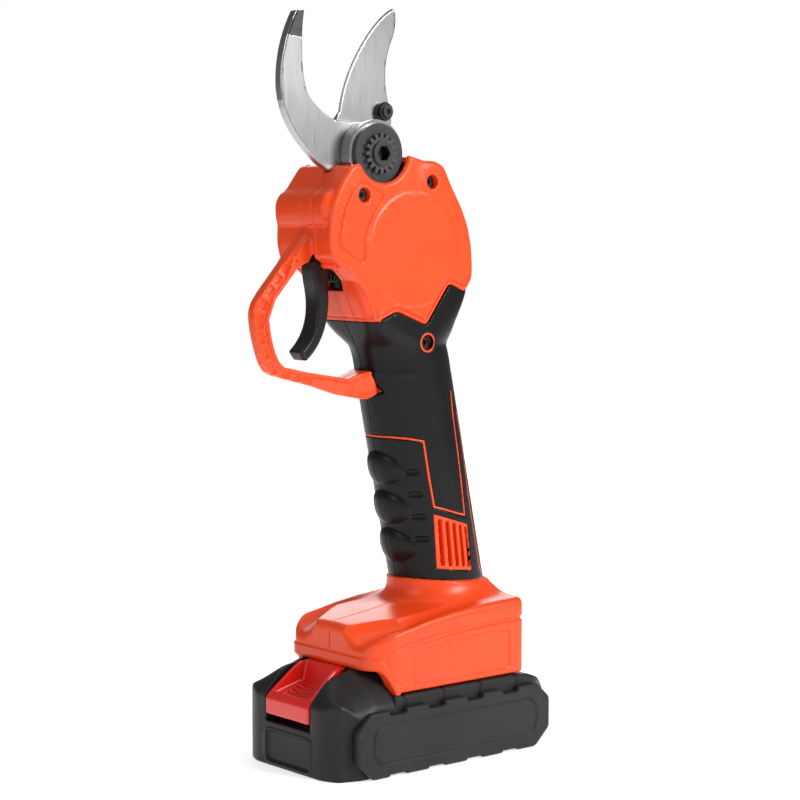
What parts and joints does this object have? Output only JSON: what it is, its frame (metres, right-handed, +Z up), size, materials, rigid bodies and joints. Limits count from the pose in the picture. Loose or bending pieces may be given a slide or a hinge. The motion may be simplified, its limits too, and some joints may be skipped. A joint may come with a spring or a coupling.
{
  "type": "battery electric pruner",
  "caption": "Pistol-grip cordless pruning shear: hook blade and swinging blade on a geared head, guarded trigger, and a slide-on battery pack that it stands on.",
  "frame": {"origin": "centre of the battery pack's flat base", "axes": "+Z up along the handle, -X forwards (trigger and latch side), -Y to the user's left; y = 0 is the housing's split plane"},
  "size_m": [0.1474, 0.076, 0.3306],
  "materials": {
    "orange_shell": "moulded, fine satin texture",
    "soft_grip": "satin soft overmould",
    "cast_metal": "die cast",
    "blade_steel": "ground and brushed",
    "bright_steel": "machined",
    "black_metal": "black oxide",
    "bronze": "sintered bronze",
    "copper": "bare copper",
    "trigger_plastic": "satin",
    "black_plastic": "moulded",
    "board": "solder mask",
    "lead_insulation": "wire insulation",
    "pack_shell": "fine moulded texture",
    "bumper_rubber": "matte rubber",
    "latch_red": "smooth moulded",
    "cell_wrap": "shrink wrap"
  },
  "bodies": {
    "tool": {"housing_left": "orange_shell", "housing_right": "orange_shell", "grip_left": "soft_grip", "grip_right": "soft_grip", "head_bracket": "cast_metal", "gear_case": "cast_metal", "ring_gear": "bright_steel", "fixed_blade": "blade_steel", "blade_screws": "black_metal", "thrust_washer": "bright_steel", "lock_disc": "black_metal", "spline_washer": "black_metal", "pivot_bolt": "black_metal", "pivot_nut": "black_metal", "pivot_bush": "bronze", "output_bearing": "bright_steel", "motor_can": "bright_steel", "motor_windings": "copper", "motor_end_cap": "black_plastic", "motor_bearings": "bright_steel", "housing_screws_left": "black_metal", "housing_screws_right": "black_metal", "trigger_pin": "bright_steel", "trigger_spring": "bright_steel", "trigger_switch": "black_plastic", "control_board": "board", "motor_leads": "lead_insulation", "terminal_block": "black_plastic", "terminal_blades": "copper"},
    "cutter": {"moving_blade": "blade_steel", "sector_gear": "cast_metal", "blade_boss": "black_metal", "blade_boss_screw": "black_metal"},
    "output": {"output_carrier": "bright_steel", "bevel_pinion": "bright_steel"},
    "carrier": {"first_carrier": "bright_steel"},
    "rotor": {"motor_rotor": "black_metal", "motor_shaft": "bright_steel"},
    "trigger": {"trigger": "trigger_plastic"},
    "battery": {"battery_case": "pack_shell", "battery_cover": "pack_shell", "bumper_left": "bumper_rubber", "bumper_right": "bumper_rubber", "battery_cells": "cell_wrap", "cell_holder": "black_plastic", "cell_strips": "bright_steel", "battery_board": "board", "battery_contacts": "copper", "battery_screws": "black_metal", "latch_spring": "bright_steel"},
    "latch": {"latch_button": "latch_red"},
    "planet_1a": {"planet_1a": "bronze"},
    "planet_1b": {"planet_1b": "bronze"},
    "planet_1c": {"planet_1c": "bronze"},
    "planet_2a": {"planet_2a": "bronze"},
    "planet_2b": {"planet_2b": "bronze"},
    "planet_2c": {"planet_2c": "bronze"}
  },
  "joints": [
    {"name": "blade_swing", "type": "hinge", "parent": "tool", "child": "cutter", "pos_m": [-0.0255, 0, 0.267], "axis": [0, -1, 0], "range_deg": [0, 50]},
    {"name": "output_spin", "type": "hinge", "parent": "tool", "child": "output", "pos_m": [-0.02134, 0, 0.24744], "axis": [0.2079, 0, -0.9781], "range_deg": [-200, 200]},
    {"name": "carrier_spin", "type": "hinge", "parent": "tool", "child": "carrier", "pos_m": [-0.01677, 0, 0.22592], "axis": [0.2079, 0, -0.9781], "range_deg": [-800, 800]},
    {"name": "motor_spin", "type": "hinge", "parent": "tool", "child": "rotor", "pos_m": [-0.01303, 0, 0.20831], "axis": [0.2079, 0, -0.9781], "range_deg": [-3600, 3600]},
    {"name": "planet_2a_spin", "type": "hinge", "parent": "output", "child": "planet_2a", "pos_m": [-0.02554, 0, 0.22824], "axis": [0.2079, 0, -0.9781], "range_deg": [-600, 600]},
    {"name": "planet_2b_spin", "type": "hinge", "parent": "output", "child": "planet_2b", "pos_m": [-0.01366, 0.00702, 0.23077], "axis": [0.2079, 0, -0.9781], "range_deg": [-600, 600]},
    {"name": "planet_2c_spin", "type": "hinge", "parent": "output", "child": "planet_2c", "pos_m": [-0.01366, -0.00702, 0.23077], "axis": [0.2079, 0, -0.9781], "range_deg": [-600, 600]},
    {"name": "planet_1a_spin", "type": "hinge", "parent": "carrier", "child": "planet_1a", "pos_m": [-0.02351, 0, 0.21866], "axis": [0.2079, 0, -0.9781], "range_deg": [-2400, 2400]},
    {"name": "planet_1b_spin", "type": "hinge", "parent": "carrier", "child": "planet_1b", "pos_m": [-0.01162, 0.00702, 0.22118], "axis": [0.2079, 0, -0.9781], "range_deg": [-2400, 2400]},
    {"name": "planet_1c_spin", "type": "hinge", "parent": "carrier", "child": "planet_1c", "pos_m": [-0.01162, -0.00702, 0.22118], "axis": [0.2079, 0, -0.9781], "range_deg": [-2400, 2400]},
    {"name": "trigger_pull", "type": "hinge", "parent": "tool", "child": "trigger", "pos_m": [-0.0485, 0, 0.2195], "axis": [0, -1, 0], "range_deg": [0, 14], "stiffness_Nm_per_rad": 0.25, "springref_deg": -20.05, "deforming": ["trigger_spring"]},
    {"name": "battery_slide", "type": "slide", "parent": "tool", "child": "battery", "axis": [-1, 0, 0], "range_m": [0, 0.11]},
    {"name": "latch_press", "type": "slide", "parent": "battery", "child": "latch", "axis": [0, 0, -1], "range_m": [0, 0.0026], "stiffness_N_per_m": 900, "springref_m": -0.003, "deforming": ["latch_spring"]}
  ],
  "couplings": [
    {"joint": "output_spin", "follows": "blade_swing", "ratio": 3},
    {"joint": "carrier_spin", "follows": "blade_swing", "ratio": 13.5},
    {"joint": "motor_spin", "follows": "blade_swing", "ratio": 60.75},
    {"joint": "planet_2a_spin", "follows": "blade_swing", "ratio": -8.4},
    {"joint": "planet_2b_spin", "follows": "blade_swing", "ratio": -8.4},
    {"joint": "planet_2c_spin", "follows": "blade_swing", "ratio": -8.4},
    {"joint": "planet_1a_spin", "follows": "blade_swing", "ratio": -37.8},
    {"joint": "planet_1b_spin", "follows": "blade_swing", "ratio": -37.8},
    {"joint": "planet_1c_spin", "follows": "blade_swing", "ratio": -37.8}
  ]
}
